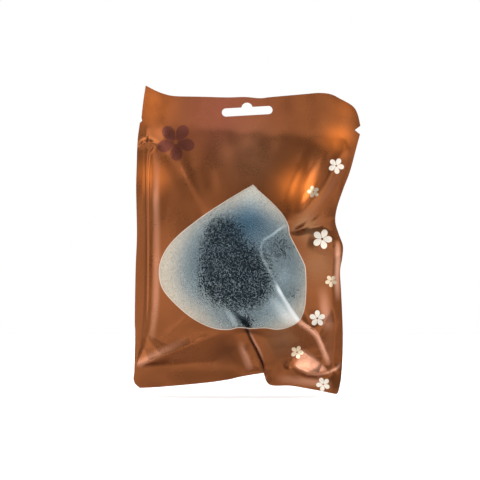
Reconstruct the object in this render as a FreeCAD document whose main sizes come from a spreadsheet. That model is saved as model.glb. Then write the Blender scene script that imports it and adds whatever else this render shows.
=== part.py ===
import FreeCAD, Part
import math
import os

import Sketcher

# A sealed hang pouch of foil film with a windowed front, holding a half-ball sponge.
# The pack hangs upright: X runs to the right, Y to the back and Z up, in millimetres.
# The origin is the top of the hang slot, on the inner face of the clear front web.

SIZES = {
    # Flat outline of the pouch
    "pouch_width": 140.0,
    "header_rise": 4.0,
    "pouch_drop": 179.0,
    "bottom_fall": 4.5,
    # Bottom edge, drawn up at the pleat and stepping down to the right of it
    "pleat_place": 10.0,
    "pleat_lift": 9.0,
    "pleat_step_run": 5.5,
    "pleat_step_drop": 8.0,
    "corner_radius": 5.0,
    # Header: its left corner stands up to a point and its right corner falls away in two steps
    "tip_rise": 7.0,
    "tip_run": 19.0,
    "shoulder_run": 18.0,
    "shoulder_drop": 12.0,
    # Tear line, from the left notch down to the right one
    "tear_drop": 11.3,
    "tear_fall": 6.0,
    "notch_depth": 2.2,
    # Left edge, leaning in above the sponge
    "lean_in": 6.0,
    "lean_start": 45.0,
    # Right edge, drawn in to a waist beside the sponge and partly out again below it
    "waist_in": 14.5,
    "draw_in": 10.0,
    "draw_start": 22.0,
    "waist_drop": 75.0,
    "draw_end": 92.0,
    # Heat seals
    "left_seal_width": 7.5,
    "right_seal_width": 6.0,
    "bottom_seal_width": 12.0,
    "pleat_seal_width": 7.5,
    "header_seal_margin": 2.0,
    "tear_margin": 3.0,
    # Thicknesses of the webs, the sealed bead and the bond between foil and clear film
    "foil_thickness": 0.2,
    "clear_thickness": 0.2,
    "back_thickness": 0.2,
    "seal_thickness": 0.1,
    "bond_gap": 0.15,
    # Hang slot: a round-ended bar with a round bump over its middle
    "slot_length": 32.0,
    "slot_height": 5.2,
    "slot_drop": 8.0,
    "bump_radius": 3.6,
    # Sponge, a flattened half ball with its flat side to the back
    "sponge_diameter": 80.0,
    "sponge_front": 20.0,
    "sponge_back": 10.0,
    "sponge_shoulder": 20.0,
    "sponge_edge": 6.0,
    "sponge_offset": -3.5,
    "sponge_rest": 22.0,
    "sponge_gap": 0.5,
    # Window, an upside-down heart: its point is placed from the sponge's axis, the rest from its point
    "window_shift": 7.2,
    "window_rise": 52.6,
    "window_left": 73.0,
    "window_left_drop": 51.0,
    "window_right": 34.5,
    "window_right_drop": 47.5,
    "window_lobe_left": 24.0,
    "window_lobe_right": 30.5,
    "window_lobe_drop": 95.0,
    "window_cleft_drop": 87.0,
    "window_side_radius": 25.0,
    "window_lobe_radius": 16.0,
    # Folds of the front film: how far each kind stands up or sinks in, and the spread to either side of it
    "crest_rise": 3.2,
    "corner_rise": 5.0,
    "knuckle_rise": 3.0,
    "ridge_rise": 2.8,
    "lip_rise": 2.5,
    "hollow_sink": 3.5,
    "pleat_sink": 4.0,
    "tuck_sink": 3.5,
    "broad_fold": 9.0,
    "fold_spread": 6.5,
    "narrow_fold": 4.2,
    "film_lift": 0.6,
}

doc = FreeCAD.newDocument("pouch")
sheet = doc.addObject("Spreadsheet::Sheet", "Sizes")
for row, (name, value) in enumerate(SIZES.items(), start=1):
    sheet.set(f"A{row}", name)
    sheet.set(f"B{row}", str(value))
    sheet.setAlias(f"B{row}", name)
doc.recompute()


def size(expression):
    """Value of an expression written with the names of the size sheet."""
    return float(sheet.evalExpression(expression))


def cell(name):
    """Reference to one size, for use inside an expression."""
    return f"Sizes.{name}"


# Expressions shared by several pieces, in the plane of the pouch
LEFT = f"-{cell('pouch_width')} / 2"
RIGHT = f"{cell('pouch_width')} / 2"
WAIST = f"{cell('pouch_width')} / 2 - {cell('waist_in')}"
LOW_RIGHT = f"{cell('pouch_width')} / 2 - {cell('draw_in')}"
TOP = cell("header_rise")
TIP_ACROSS = f"{LEFT} + {cell('lean_in')}"
TIP_UP = f"{TOP} + {cell('tip_rise')}"
TEAR_LEFT = f"-{cell('tear_drop')}"
TEAR_RIGHT = f"-{cell('tear_drop')} - {cell('tear_fall')}"
LEAN_FOOT = f"-{cell('lean_start')}"
LEAN_HEIGHT = f"({cell('lean_start')} + {TIP_UP})"
LEAN_AT_TEAR = f"{cell('lean_in')} * ({cell('lean_start')} - {cell('tear_drop')}) / {LEAN_HEIGHT}"
LEFT_AT_TEAR = f"{LEFT} + {LEAN_AT_TEAR}"
BOTTOM = f"-{cell('pouch_drop')}"
DRAW_TOP = f"-{cell('draw_start')}"
WAIST_HEIGHT = f"-{cell('waist_drop')}"
DRAW_FOOT = f"-{cell('draw_end')}"
SEAL_TOP = f"-{cell('pouch_drop')} + {cell('bottom_seal_width')}"
PLEAT = cell("pleat_place")
PLEAT_FOOT = f"-{cell('pouch_drop')} + {cell('pleat_lift')}"
PLEAT_TOP = f"-{cell('pouch_drop')} + {cell('pleat_lift')} + {cell('pleat_seal_width')}"
STEP = f"{cell('pleat_place')} + {cell('pleat_step_run')}"
STEP_FOOT = f"-{cell('pouch_drop')} + {cell('pleat_lift')} - {cell('pleat_step_drop')}"
LOW_FOOT = f"-{cell('pouch_drop')} - {cell('bottom_fall')}"
LOW_TOP = f"-{cell('pouch_drop')} - {cell('bottom_fall')} + {cell('bottom_seal_width')}"
SPONGE_HEIGHT = f"{SEAL_TOP} + {cell('sponge_rest')} + {cell('sponge_diameter')} / 2"
NOTCH = cell("notch_depth")
LEFT_SIDE = cell("left_seal_width")
RIGHT_SIDE = cell("right_seal_width")
LEFT_FOOT = f"{SEAL_TOP} + {LEFT_SIDE} * ({PLEAT_TOP} - ({SEAL_TOP})) / ({PLEAT} - ({LEFT}))"
RIGHT_FOOT = f"{LOW_TOP} + {RIGHT_SIDE} * ({PLEAT_TOP} - ({LOW_TOP})) / ({LOW_RIGHT} - ({PLEAT}))"

# Depths of the stacked layers, as distances in front of the clear web's inner face
FOIL_BACK = f"{cell('clear_thickness')} + {cell('bond_gap')}"
CLEAR_BACK = "0"
SEAL_BACK = f"-{cell('seal_thickness')}"
BACK_BACK = f"-{cell('seal_thickness')} - {cell('back_thickness')}"


def attach(body, role, label):
    """An empty sketch on one of the body's own origin planes."""
    sketch = body.newObject("Sketcher::SketchObject", label)
    plane = next(item for item in body.Origin.OriginFeatures if item.Role == role)
    sketch.AttachmentSupport = [(plane, "")]
    sketch.MapMode = "FlatFace"
    return sketch


def fix_point(sketch, geometry, end, across, up):
    """Hold one point of a sketch at a place given by two expressions."""
    for kind, expression in (("DistanceX", across), ("DistanceY", up)):
        constraint = Sketcher.Constraint(kind, -1, 1, geometry, end, size(expression))
        index = sketch.addConstraint(constraint)
        sketch.setExpression(f"Constraints[{index}]", expression)


def polygon(sketch, corners):
    """A closed run of straight edges through corners given as pairs of expressions."""
    places = [FreeCAD.Vector(size(across), size(up), 0) for across, up in corners]
    count = len(places)
    for index in range(count):
        sketch.addGeometry(Part.LineSegment(places[index], places[(index + 1) % count]))
    for index in range(count):
        sketch.addConstraint(Sketcher.Constraint("Coincident", index, 2, (index + 1) % count, 1))
        fix_point(sketch, index, 1, *corners[index])


def circle(sketch, across, up, radius):
    """A circle whose centre and radius are expressions."""
    middle = FreeCAD.Vector(size(across), size(up), 0)
    index = sketch.addGeometry(Part.Circle(middle, FreeCAD.Vector(0, 0, 1), size(radius)))
    fix_point(sketch, index, 3, across, up)
    constraint = sketch.addConstraint(Sketcher.Constraint("Radius", index, size(radius)))
    sketch.setExpression(f"Constraints[{constraint}]", radius)


def plate(label, corners, back, thickness):
    """A flat layer in the plane of the pouch, from its back face towards the front."""
    body = doc.addObject("PartDesign::Body", label)
    body.Label = label
    sketch = attach(body, "XZ_Plane", f"{label}_outline")
    sketch.setExpression("AttachmentOffset.Base.z", back)
    polygon(sketch, corners)
    pad = body.newObject("PartDesign::Pad", f"{label}_pad")
    pad.Profile = sketch
    pad.setExpression("Length", thickness)
    sketch.Visibility = False
    doc.recompute()
    return body


def punch(body, label, draw, back):
    """Cut a shape drawn in the plane of the pouch right through a flat layer."""
    before = body.Shape.Volume
    sketch = attach(body, "XZ_Plane", label)
    sketch.setExpression("AttachmentOffset.Base.z", back)
    draw(sketch)
    pocket = body.newObject("PartDesign::Pocket", f"{label}_cut")
    pocket.Profile = sketch
    pocket.Type = "ThroughAll"
    pocket.Midplane = True
    doc.recompute()
    if body.Shape.Volume >= before:
        raise ValueError(f"{label} removed nothing")


def punch_slot(body, back):
    """The hang slot, cut as a bar, its two round ends and the bump over its middle."""
    name = body.Label
    half = f"({cell('slot_length')} - {cell('slot_height')}) / 2"
    radius = f"{cell('slot_height')} / 2"
    low = f"-{cell('slot_drop')}"
    high = f"-{cell('slot_drop')} + {cell('slot_height')}"
    middle = f"-{cell('slot_drop')} + {cell('slot_height')} / 2"
    bar = [(f"-{half}", low), (half, low), (half, high), (f"-{half}", high)]

    def draw_ends(sketch):
        circle(sketch, f"-{half}", middle, radius)
        circle(sketch, half, middle, radius)

    def draw_bump(sketch):
        circle(sketch, "0", f"-{cell('bump_radius')}", cell("bump_radius"))

    punch(body, f"{name}_slot", lambda sketch: polygon(sketch, bar), back)
    punch(body, f"{name}_slot_ends", draw_ends, back)
    punch(body, f"{name}_slot_bump", draw_bump, back)


# Header: the strip above the tear line, with half of each tear notch at its lower corners
header_top = [
    (RIGHT, f"{TOP} - {cell('shoulder_drop')}"),
    (f"{RIGHT} - {cell('shoulder_run')} / 4", f"{TOP} - {cell('shoulder_drop')} / 2"),
    (f"{RIGHT} - {cell('shoulder_run')}", TOP),
    (f"{TIP_ACROSS} + {cell('tip_run')}", TOP),
    (TIP_ACROSS, TIP_UP),
]
header_outline = header_top + [
    (LEFT_AT_TEAR, f"{TEAR_LEFT} + {NOTCH}"),
    (f"{LEFT_AT_TEAR} + {NOTCH}", TEAR_LEFT),
    (f"{RIGHT} - {NOTCH}", TEAR_RIGHT),
    (RIGHT, f"{TEAR_RIGHT} + {NOTCH}"),
]
seal_margin = f"{cell('header_seal_margin')} + {NOTCH}"
header_seal_outline = header_top + [
    (f"{LEFT_AT_TEAR} + {NOTCH}", f"{TEAR_LEFT} + {seal_margin}"),
    (RIGHT, f"{TEAR_RIGHT} + {seal_margin}"),
]
header_layers = [
    ("header_foil", header_outline, FOIL_BACK, cell("foil_thickness")),
    ("header_clear_film", header_outline, CLEAR_BACK, cell("clear_thickness")),
    ("header_seal", header_seal_outline, SEAL_BACK, cell("seal_thickness")),
    ("header_back", header_outline, BACK_BACK, cell("back_thickness")),
]
pieces = []
for label, outline, back, thickness in header_layers:
    layer = plate(label, outline, back, thickness)
    punch_slot(layer, back)
    pieces.append(layer)

# Heat seals between the webs, down both sides and along the bottom
left_notch_foot = f"{TEAR_LEFT} - {NOTCH}"
right_notch_foot = f"{TEAR_RIGHT} - {NOTCH}"
left_outline = [
    (LEFT_AT_TEAR, left_notch_foot),
    (LEFT, LEAN_FOOT),
    (LEFT, SEAL_TOP),
    (f"{LEFT} + {LEFT_SIDE}", LEFT_FOOT),
    (f"{LEFT} + {LEFT_SIDE}", LEAN_FOOT),
    (f"{LEFT_AT_TEAR} + {LEFT_SIDE}", left_notch_foot),
]
right_outline = [
    (RIGHT, right_notch_foot),
    (f"{RIGHT} - {RIGHT_SIDE}", right_notch_foot),
    (f"{RIGHT} - {RIGHT_SIDE}", DRAW_TOP),
    (f"{WAIST} - {RIGHT_SIDE}", WAIST_HEIGHT),
    (f"{LOW_RIGHT} - {RIGHT_SIDE}", DRAW_FOOT),
    (f"{LOW_RIGHT} - {RIGHT_SIDE}", RIGHT_FOOT),
    (LOW_RIGHT, LOW_TOP),
    (LOW_RIGHT, DRAW_FOOT),
    (WAIST, WAIST_HEIGHT),
    (RIGHT, DRAW_TOP),
]
bevel = f"1.2 * {cell('corner_radius')}"
left_slope = f"{cell('pleat_lift')} / ({PLEAT} - ({LEFT}))"
right_slope = f"({STEP_FOOT} - ({LOW_FOOT})) / ({LOW_RIGHT} - ({STEP}))"
bottom_outline = [
    (LEFT, SEAL_TOP),
    (LEFT, f"{BOTTOM} + {bevel}"),
    (f"{LEFT} + {bevel}", f"{BOTTOM} + {bevel} * {left_slope}"),
    (PLEAT, PLEAT_FOOT),
    (STEP, STEP_FOOT),
    (f"{LOW_RIGHT} - {bevel}", f"{LOW_FOOT} + {bevel} * {right_slope}"),
    (LOW_RIGHT, f"{LOW_FOOT} + {bevel}"),
    (LOW_RIGHT, LOW_TOP),
    (PLEAT, PLEAT_TOP),
]
seals = [("left_seal", left_outline), ("right_seal", right_outline), ("bottom_seal", bottom_outline)]
for label, outline in seals:
    pieces.append(plate(label, outline, SEAL_BACK, cell("seal_thickness")))

# Sponge: half of its section, turned about the axis through its dome
radius = size(cell("sponge_diameter")) / 2
front = size(cell("sponge_front"))
back = size(cell("sponge_back"))
shoulder = size(cell("sponge_shoulder"))
edge = size(cell("sponge_edge"))
widest = back - edge
rise = front + widest
crown = ((radius - shoulder) ** 2 + rise**2 - shoulder**2) / (2 * (rise - shoulder))
crown_middle = FreeCAD.Vector(0, crown - front, 0)
shoulder_middle = FreeCAD.Vector(radius - shoulder, widest, 0)
lean = math.atan2(crown_middle.y - shoulder_middle.y, shoulder_middle.x)
up = FreeCAD.Vector(0, 0, 1)

sponge = doc.addObject("PartDesign::Body", "sponge")
sponge.Label = "sponge"
section = attach(sponge, "XY_Plane", "sponge_section")
base_line = Part.LineSegment(FreeCAD.Vector(0, back, 0), FreeCAD.Vector(radius - edge, back, 0))
edge_circle = Part.Circle(FreeCAD.Vector(radius - edge, widest, 0), up, edge)
shoulder_circle = Part.Circle(shoulder_middle, up, shoulder)
crown_circle = Part.Circle(crown_middle, up, crown)
axis_line = Part.LineSegment(FreeCAD.Vector(0, -front, 0), FreeCAD.Vector(0, back, 0))
section.addGeometry(base_line)
section.addGeometry(Part.ArcOfCircle(edge_circle, 0, math.pi / 2))
section.addGeometry(Part.ArcOfCircle(shoulder_circle, -lean, 0))
section.addGeometry(Part.ArcOfCircle(crown_circle, -math.pi / 2, -lean))
section.addGeometry(axis_line)
BASE, EDGE, SHOULDER, CROWN, AXIS = range(5)
section.addConstraint(Sketcher.Constraint("Horizontal", BASE))
section.addConstraint(Sketcher.Constraint("Tangent", BASE, 2, EDGE, 2))
section.addConstraint(Sketcher.Constraint("Tangent", EDGE, 1, SHOULDER, 2))
section.addConstraint(Sketcher.Constraint("Tangent", SHOULDER, 1, CROWN, 2))
section.addConstraint(Sketcher.Constraint("Horizontal", EDGE, 3, SHOULDER, 3))
section.addConstraint(Sketcher.Constraint("PointOnObject", CROWN, 3, -2))
section.addConstraint(Sketcher.Constraint("Coincident", CROWN, 1, AXIS, 1))
section.addConstraint(Sketcher.Constraint("Coincident", AXIS, 2, BASE, 1))
fix_point(section, AXIS, 1, "0", f"-{cell('sponge_front')}")
fix_point(section, AXIS, 2, "0", cell("sponge_back"))
for arc, name in ((EDGE, "sponge_edge"), (SHOULDER, "sponge_shoulder")):
    index = section.addConstraint(Sketcher.Constraint("Radius", arc, size(cell(name))))
    section.setExpression(f"Constraints[{index}]", cell(name))
widest_place = Sketcher.Constraint("DistanceX", -1, 1, EDGE, 1, radius)
index = section.addConstraint(widest_place)
section.setExpression(f"Constraints[{index}]", f"{cell('sponge_diameter')} / 2")
dome = sponge.newObject("PartDesign::Revolution", "sponge_dome")
dome.Profile = section
dome.ReferenceAxis = (section, ["V_Axis"])
dome.Angle = 360
sponge.setExpression("Placement.Base.x", cell("sponge_offset"))
sponge.setExpression("Placement.Base.z", SPONGE_HEIGHT)
doc.recompute()
pieces.append(sponge)

# Draped webs: film leaves the seals, runs straight to where it meets the sponge and follows it
gap = size(cell("sponge_gap"))
centre_x = size(cell("sponge_offset"))
centre_z = size(SPONGE_HEIGHT)
chamber_foot_left = size(LEFT_FOOT)
chamber_foot_right = size(RIGHT_FOOT)
chamber_top_left = size(f"{TEAR_LEFT} - {cell('tear_margin')} - {NOTCH}")
chamber_top_right = size(f"{TEAR_RIGHT} - {cell('tear_margin')} - {NOTCH}")
FRONT_POLES = (46, 58)
BACK_POLES = (26, 32)
DEGREE = 3
PROFILE_STEPS = 80


def chamber_left(height):
    """Inner edge of the left seal at one height."""
    share = min(1.0, max(0.0, (height - size(LEAN_FOOT)) / size(LEAN_HEIGHT)))
    return size(f"{LEFT} + {LEFT_SIDE}") + share * size(cell("lean_in"))


def chamber_right(height):
    """Inner edge of the right seal at one height."""
    start, waist, end = size(DRAW_TOP), size(WAIST_HEIGHT), size(DRAW_FOOT)
    drawn = min(1.0, max(0.0, (start - height) / (start - waist)))
    freed = min(1.0, max(0.0, (waist - height) / (waist - end)))
    waist_in = size(cell("waist_in"))
    inset = drawn * waist_in - freed * (waist_in - size(cell("draw_in")))
    return size(f"{RIGHT} - {RIGHT_SIDE}") - inset


foot_start = chamber_left(chamber_foot_left)
foot_end = chamber_right(chamber_foot_right)
pleat_share = (size(PLEAT) - foot_start) / (foot_end - foot_start)


def chamber_foot(across):
    """Top of the bottom seal at a share of the chamber's width, highest at the pleat."""
    peak = size(PLEAT_TOP)
    if across < pleat_share:
        return chamber_foot_left + across / pleat_share * (peak - chamber_foot_left)
    return peak + (across - pleat_share) / (1 - pleat_share) * (chamber_foot_right - peak)


def chamber_place(across, up):
    """Place in the plane of the pouch of two shares, of the chamber's width and of its height."""
    foot = chamber_foot(across)
    top = chamber_top_left + across * (chamber_top_right - chamber_top_left)
    z = foot + up * (top - foot)
    return chamber_left(z) + across * (chamber_right(z) - chamber_left(z)), z


left_heights = [chamber_top_left, size(LEAN_FOOT), chamber_foot_left]
upper_right = min(size(DRAW_TOP), chamber_top_right)
right_heights = [chamber_foot_right, size(DRAW_FOOT), size(WAIST_HEIGHT), upper_right, chamber_top_right]
chamber = [(chamber_left(height), height) for height in left_heights]
chamber.append((size(PLEAT), size(PLEAT_TOP)))
chamber += [(chamber_right(height), height) for height in right_heights]


def reach(dx, dz):
    """Distance from the sponge's axis to the edge of the chamber in one direction."""
    found = []
    for (ax, az), (bx, bz) in zip(chamber, chamber[1:] + chamber[:1]):
        ex, ez = bx - ax, bz - az
        cross = dx * ez - dz * ex
        if abs(cross) < 1e-9:
            continue
        along = ((ax - centre_x) * ez - (az - centre_z) * ex) / cross
        share = ((ax - centre_x) * dz - (az - centre_z) * dx) / cross
        if along > 0 and -1e-6 <= share <= 1 + 1e-6:
            found.append(along)
    return min(found)


def dome_height(distance):
    """Front of the sponge, with its clearance, at a distance from its axis."""
    join = crown * math.cos(lean)
    if distance <= join:
        return math.sqrt((crown + gap) ** 2 - distance**2) - crown_middle.y
    inside = max(0.0, (shoulder + gap) ** 2 - (distance - shoulder_middle.x) ** 2)
    return math.sqrt(inside) - widest


def rim_height(distance):
    """Back of the sponge's round edge, with its clearance, at a distance from its axis."""
    flat = radius - edge
    if distance <= flat:
        return 0.0
    inside = max(0.0, (edge + gap) ** 2 - (distance - flat) ** 2)
    return math.sqrt(inside) + widest


def drape(profile, x, z, follow):
    """Height of taut film over a round profile, measured from the plane of the seals."""
    dx, dz = x - centre_x, z - centre_z
    distance = math.hypot(dx, dz)
    if distance < 1e-6:
        dx, distance = 1.0, 1e-6
    length = math.hypot(dx, dz)
    edge_distance = reach(dx / length, dz / length)
    steps = [radius * step / PROFILE_STEPS for step in range(PROFILE_STEPS + 1)]
    slope, contact = max((profile(step) / (edge_distance - step), step) for step in steps)
    if follow and distance < contact:
        return profile(distance)
    return max(0.0, slope * (edge_distance - distance))


# Folds of the front film, each along a line through shares of the chamber's width and height
broad = size(cell("broad_fold"))
spread = size(cell("fold_spread"))
narrow = size(cell("narrow_fold"))
folds = [
    # Crest that climbs from the low left corner
    (size(cell("crest_rise")), spread, [(0.0, 0.02), (0.15, 0.07), (0.32, 0.12)]),
    # Pleat at the middle of the bottom, with a lip on either side of it
    (-size(cell("pleat_sink")), narrow, [(0.53, 0.14), (0.57, 0.06), (0.61, 0.02)]),
    (size(cell("lip_rise")), narrow, [(0.5, 0.07), (0.54, 0.02)]),
    (size(cell("lip_rise")), narrow, [(0.61, 0.06), (0.63, 0.01)]),
    # Hollows to the left and right of the pleat
    (-size(cell("hollow_sink")), broad, [(0.3, 0.02), (0.43, 0.05)]),
    (-size(cell("hollow_sink")), broad, [(0.67, 0.07), (0.84, 0.07)]),
    # Crest from the sponge to the low right corner, the knuckle beside it and the fold under it
    (size(cell("corner_rise")), spread, [(0.78, 0.24), (0.89, 0.18), (0.96, 0.11)]),
    (size(cell("knuckle_rise")), broad, [(0.93, 0.22), (0.99, 0.21)]),
    (size(cell("corner_rise")), narrow, [(0.83, 0.01), (0.95, 0.01)]),
    # Ridge down the upper right edge and the tuck at its foot, beside the waist
    (size(cell("ridge_rise")), spread, [(0.89, 0.68), (0.95, 0.79), (0.98, 0.93)]),
    (-size(cell("tuck_sink")), narrow, [(0.81, 0.59), (0.95, 0.62)]),
]
fold_lines = [(lift, width, [chamber_place(*share) for share in line]) for lift, width, line in folds]


def folded(profile, x, z, follow):
    """Height of draped film with its folds, kept clear of the profile and of the other web."""
    height = drape(profile, x, z, follow)
    for lift, width, line in fold_lines:
        away = width
        for (ax, az), (bx, bz) in zip(line, line[1:]):
            ex, ez = bx - ax, bz - az
            along = ((x - ax) * ex + (z - az) * ez) / (ex**2 + ez**2)
            along = min(1.0, max(0.0, along))
            away = min(away, math.hypot(x - ax - along * ex, z - az - along * ez))
        height += lift * (1 - away / width)
    distance = math.hypot(x - centre_x, z - centre_z)
    clear_of = profile(distance) if distance < radius else 0.0
    return max(height, clear_of, size(cell("film_lift")))


def clamped(count):
    """Knots, multiplicities and pole places of an even spline that ends on its edge poles."""
    spans = count - DEGREE
    knots = [index / spans for index in range(spans + 1)]
    repeats = [DEGREE + 1] + [1] * (spans - 1) + [DEGREE + 1]
    full = [knot for knot, times in zip(knots, repeats) for _ in range(times)]
    places = [sum(full[index + 1:index + DEGREE + 1]) / DEGREE for index in range(count)]
    return knots, repeats, places


def bulge(film, profile, side, follow, pole_counts):
    """Solid between the plane of the seals and film laid over a profile, on one side."""
    knots_x, repeats_x, places_x = clamped(pole_counts[0])
    knots_z, repeats_z, places_z = clamped(pole_counts[1])
    poles = []
    for place_x in places_x:
        column = []
        for place_z in places_z:
            x, z = chamber_place(place_x, place_z)
            on_edge = place_x in (0.0, 1.0) or place_z in (0.0, 1.0)
            height = 0.0 if on_edge else film(profile, x, z, follow)
            column.append(FreeCAD.Vector(x, side * height, z))
        poles.append(column)
    surface = Part.BSplineSurface()
    surface.buildFromPolesMultsKnots(
        poles, repeats_x, repeats_z, knots_x, knots_z, False, False, DEGREE, DEGREE
    )
    skin = surface.toShape()
    foot = Part.Face(Part.Wire(Part.__sortEdges__(skin.Edges)))
    solid = Part.Solid(Part.Shell([skin, foot]))
    solid.fix(1e-6, 1e-6, 1e-6)
    if solid.Volume < 0:
        solid.reverse()
    return solid


def rounded_face(corners):
    """Flat face through corners, each with the radius that rounds it off."""
    places = [FreeCAD.Vector(x, 0, z) for x, z, _ in corners]
    count = len(places)
    edges = []
    ends = []
    for index, (_, _, round_radius) in enumerate(corners):
        here = places[index]
        inward = (places[index - 1] - here).normalize()
        onward = (places[(index + 1) % count] - here).normalize()
        if round_radius == 0:
            ends.append((here, None, here))
            continue
        half = inward.getAngle(onward) / 2
        bisector = (inward + onward).normalize()
        middle = here + bisector * (round_radius / math.sin(half))
        cut = round_radius / math.tan(half)
        ends.append((here + inward * cut, middle - bisector * round_radius, here + onward * cut))
    for index, (start, through, end) in enumerate(ends):
        if through is not None:
            edges.append(Part.Arc(start, through, end).toShape())
        edges.append(Part.makeLine(end, ends[(index + 1) % count][0]))
    return Part.Face(Part.Wire(edges))


def shifted(shape, depth):
    """Copy of a shape moved along Y."""
    copy = shape.copy()
    copy.translate(FreeCAD.Vector(0, depth, 0))
    return copy


def web(outline, swell, side, thickness):
    """A web of even thickness, flat at its seals and swollen over the sponge."""
    flat = outline.extrude(FreeCAD.Vector(0, side * thickness, 0))
    skin = flat.fuse(shifted(swell, side * thickness)).cut(swell)
    return skin.removeSplitter()


def add_web(label, shape, ahead):
    """A draped web as an object of the document, moved ahead to its place in the stack."""
    item = doc.addObject("Part::Feature", label)
    item.Label = label
    item.Shape = shape.Solids[0]
    item.setExpression("Placement.Base.y", f"-({ahead})")
    pieces.append(item)


rounding = size(cell("corner_radius"))
pouch_outline = rounded_face([
    (size(f"{LEFT_AT_TEAR} + {NOTCH}"), size(TEAR_LEFT), 0),
    (size(LEFT_AT_TEAR), size(left_notch_foot), 0),
    (size(LEFT), size(LEAN_FOOT), 0),
    (size(LEFT), size(BOTTOM), rounding),
    (size(PLEAT), size(PLEAT_FOOT), 0),
    (size(STEP), size(STEP_FOOT), 0),
    (size(LOW_RIGHT), size(LOW_FOOT), rounding),
    (size(LOW_RIGHT), size(DRAW_FOOT), 0),
    (size(WAIST), size(WAIST_HEIGHT), 0),
    (size(RIGHT), size(DRAW_TOP), 0),
    (size(RIGHT), size(right_notch_foot), 0),
    (size(f"{RIGHT} - {NOTCH}"), size(TEAR_RIGHT), 0),
])
point_x = centre_x + size(cell("window_shift"))
point_z = centre_z + size(cell("window_rise"))
left_z = point_z - size(cell("window_left_drop"))
right_z = point_z - size(cell("window_right_drop"))
lobe_z = point_z - size(cell("window_lobe_drop"))
cleft_z = point_z - size(cell("window_cleft_drop"))
side_radius = size(cell("window_side_radius"))
lobe_radius = size(cell("window_lobe_radius"))
window_face = rounded_face([
    (point_x, point_z, 0),
    (point_x - size(cell("window_left")), left_z, side_radius),
    (point_x - size(cell("window_lobe_left")), lobe_z, lobe_radius),
    (point_x, cleft_z, 0),
    (point_x + size(cell("window_lobe_right")), lobe_z, lobe_radius),
    (point_x + size(cell("window_right")), right_z, side_radius),
])
window_depth = 2 * (front + back)
window = shifted(window_face, -window_depth).extrude(FreeCAD.Vector(0, 2 * window_depth, 0))

front_swell = bulge(folded, dome_height, -1, True, FRONT_POLES)
foil = web(pouch_outline, front_swell, -1, size(cell("foil_thickness"))).cut(window)
clear = web(pouch_outline, front_swell, -1, size(cell("clear_thickness")))
add_web("front_foil", foil, FOIL_BACK)
add_web("clear_film", clear, CLEAR_BACK)

# The back web is flat where the sponge's flat side presses on it
seal = size(cell("seal_thickness"))
back_cone = bulge(drape, rim_height, 1, False, BACK_POLES)
span = 2 * size(cell("pouch_width"))
drop = 2 * size(cell("pouch_drop"))
block = Part.makeBox(span, back + gap - seal, drop, FreeCAD.Vector(-span / 2, 0, -drop))
back_web = web(pouch_outline, back_cone.common(block), 1, size(cell("back_thickness")))
add_web("back_film", back_web, SEAL_BACK)

doc.recompute()
for item in doc.Objects:
    if any(state in ("Invalid", "Error") for state in item.State):
        raise ValueError(f"{item.Label} did not compute: {item.State}")
os.makedirs("parts", exist_ok=True)
for item in pieces:
    if item.Shape.isNull() or not item.Shape.isValid():
        raise ValueError(f"{item.Label} has no valid shape")
    item.Shape.exportStep(f"parts/{item.Label}.step")
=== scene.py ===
import math

import bpy
import numpy as np
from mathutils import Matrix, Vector, noise
from mathutils.geometry import delaunay_2d_cdt
from mathutils.kdtree import KDTree


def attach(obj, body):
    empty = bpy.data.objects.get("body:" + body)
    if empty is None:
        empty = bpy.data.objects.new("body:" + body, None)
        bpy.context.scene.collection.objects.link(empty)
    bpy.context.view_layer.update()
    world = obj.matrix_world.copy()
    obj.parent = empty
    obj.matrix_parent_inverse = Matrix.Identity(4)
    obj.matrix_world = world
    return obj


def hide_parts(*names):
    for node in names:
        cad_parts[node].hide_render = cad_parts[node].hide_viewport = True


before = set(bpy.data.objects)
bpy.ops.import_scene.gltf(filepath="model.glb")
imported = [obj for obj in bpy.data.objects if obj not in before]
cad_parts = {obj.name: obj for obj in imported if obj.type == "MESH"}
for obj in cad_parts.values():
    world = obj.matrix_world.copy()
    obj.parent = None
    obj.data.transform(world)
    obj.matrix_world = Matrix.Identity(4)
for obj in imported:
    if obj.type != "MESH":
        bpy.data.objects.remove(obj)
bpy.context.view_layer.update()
scene = bpy.context.scene

# Places on the front are given as columns and rows of the front view, each PIXEL millimetres apart,
# with the top of the hang slot at PEG. Depths are millimetres, growing towards the front.
MM = 0.001
PIXEL = 0.63
PEG = (247.2, 102.7)
SPONGE = (241.64, 269.37)
CELL = 0.5
COLUMNS = np.arange(118.0, 376.0, CELL)
ROWS = np.arange(74.0, 404.0, CELL)
U, V = np.meshgrid(COLUMNS, ROWS)
rng = np.random.default_rng(seed=7)

# Limits for comparing numbers, steps along lines in pixels, and the two ways to fill lines with triangles
TINY = 1e-9
SMALL = 1e-6
WELD = 1e-4
HUGE = 1e9
SHORT_OF_END = 1.001
FOLD_STEP = 2.0
CHAMBER_STEP = 6.0
BEAD_STEP = 1.0
WHOLE_HULL = 0
INSIDE_ONLY = 1

# Sponge section, with the clearance and the margin that its film keeps, in millimetres
RADIUS = 40.0
FRONT_DEPTH = 20.0
BACK_DEPTH = 10.0
SHOULDER = 20.0
EDGE = 6.0
CROWN = 72.0
WIDEST = BACK_DEPTH - EDGE
CROWN_BACK = CROWN - FRONT_DEPTH
CLEAR = 0.5
MARGIN = 1.0

# Stack of the layers, as depths in front of the inner face of the clear web
FOIL_FACE = 0.55
CLEAR_FACE = 0.2
SEAL_FACE = 0.0
BACK_FACE = -0.1
WEB = 0.2
SEAL = 0.1


# Curves and fields

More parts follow.
